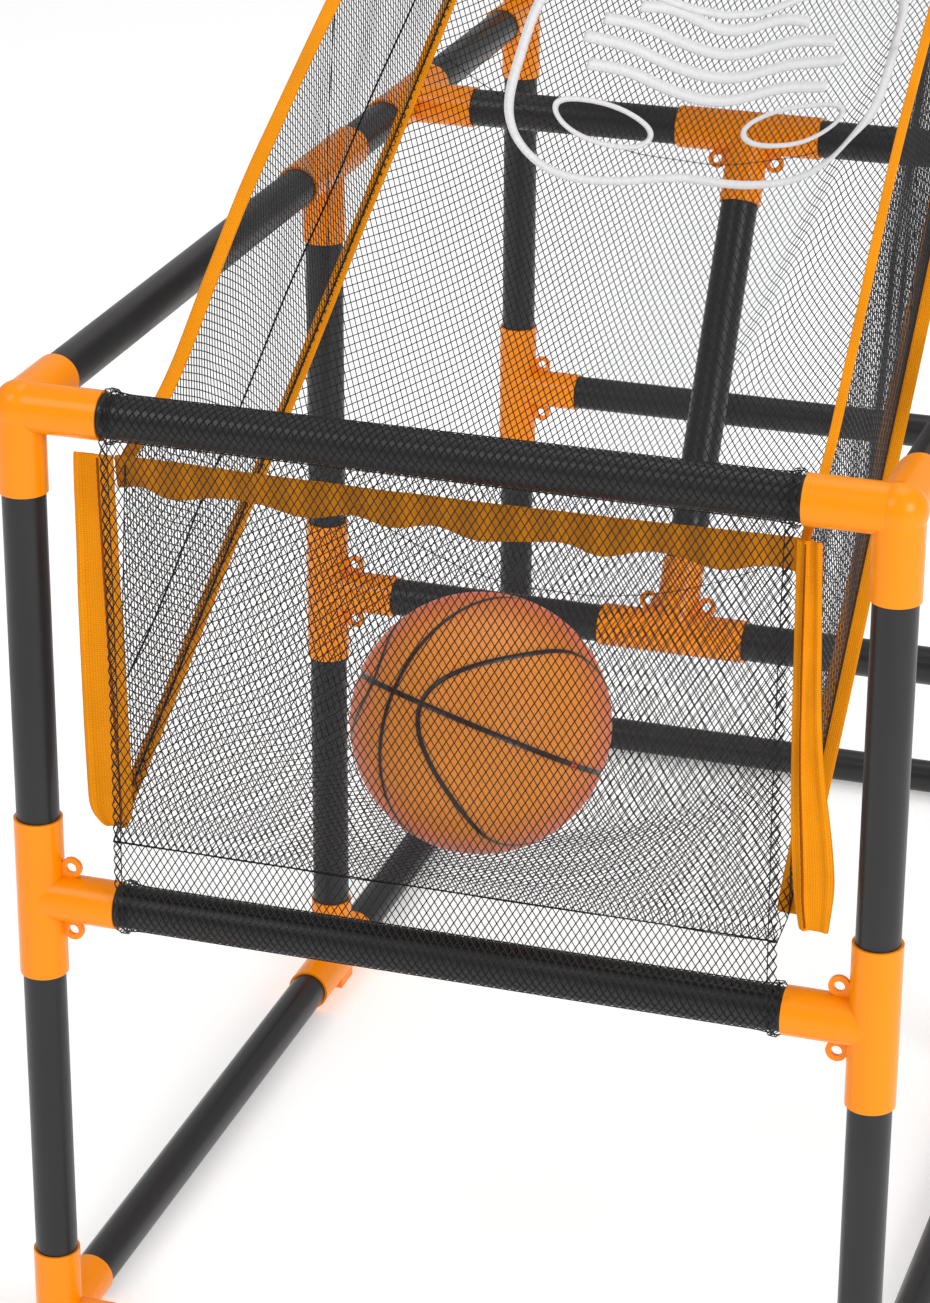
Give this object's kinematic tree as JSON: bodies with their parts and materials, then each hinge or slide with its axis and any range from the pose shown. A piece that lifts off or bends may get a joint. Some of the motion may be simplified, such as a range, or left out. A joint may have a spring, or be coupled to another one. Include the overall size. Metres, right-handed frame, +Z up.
{
  "type": "basketball hoop machine",
  "caption": "Child-size arcade basketball machine: push-fit tube frame, mesh ball-return chute, raised backboard with netted hoop, and a ball resting at the front.",
  "frame": {"origin": "on the floor under the middle of the frame's footprint", "axes": "+Z up, the player stands on the -Y side and looks along +Y, +X to the player's right"},
  "size_m": [0.4584, 0.8394, 1.448],
  "materials": {
    "black_tube": "satin powder coat",
    "orange_connector": "moulded gloss",
    "black_mesh": "open diamond mesh",
    "orange_tape": "woven webbing",
    "hoop_steel": "gloss powder coat",
    "hoop_cord": "knotted cord",
    "backboard_panel": "satin sheet",
    "fastener_steel": "zinc plated",
    "spacer_plastic": "moulded",
    "ball_rubber": "satin with black seams"
  },
  "bodies": {
    "frame": {"backboard": "backboard_panel", "board_bar": "black_tube", "board_bolts": "fastener_steel", "board_spacers": "spacer_plastic", "chute_floor_net": "black_mesh", "chute_tape_left": "orange_tape", "chute_tape_right": "orange_tape", "corner_front_left": "orange_connector", "corner_front_right": "orange_connector", "corner_ties": "orange_tape", "corners_floor_front": "orange_connector", "corners_floor_rear": "orange_connector", "floor_rails_front": "black_tube", "floor_rails_rear": "black_tube", "front_bar_floor": "black_tube", "front_bar_lower": "black_tube", "front_bar_top": "black_tube", "front_hem": "orange_tape", "front_net": "black_mesh", "hoop": "hoop_steel", "hoop_bolts": "fastener_steel", "hoop_net": "hoop_cord", "mid_bars": "black_tube", "net_bar": "black_tube", "post_caps": "orange_connector", "posts_lower": "black_tube", "posts_upper": "black_tube", "rear_bar_floor": "black_tube", "rear_bar_lower": "black_tube", "rear_post_ends": "black_tube", "rear_posts_board": "black_tube", "rear_posts_middle": "black_tube", "rear_posts_upper": "black_tube", "side_net_left": "black_mesh", "side_net_right": "black_mesh", "side_rails_front": "black_tube", "side_rails_middle": "black_tube", "side_rails_rear": "black_tube", "strut": "black_tube", "support_bars": "black_tube", "tee_front_left": "orange_connector", "tee_front_right": "orange_connector", "tee_mid_left": "orange_connector", "tee_mid_right": "orange_connector", "tee_rail_left": "orange_connector", "tee_rail_right": "orange_connector", "tee_rear_left": "orange_connector", "tee_rear_right": "orange_connector", "tee_strut_foot": "orange_connector", "tee_strut_head": "orange_connector", "tees_board": "orange_connector", "tees_floor_mid": "orange_connector", "tees_net_bar": "orange_connector", "tees_rail_rear": "orange_connector", "tees_support": "orange_connector", "tees_top": "orange_connector", "top_bar": "black_tube"},
    "ball": {"ball": "ball_rubber"}
  },
  "joints": [
    {"name": "ball_lift_out", "type": "slide", "parent": "frame", "child": "ball", "axis": [0, 0.1736, 0.9848], "range_m": [0, 0.4]}
  ]
}
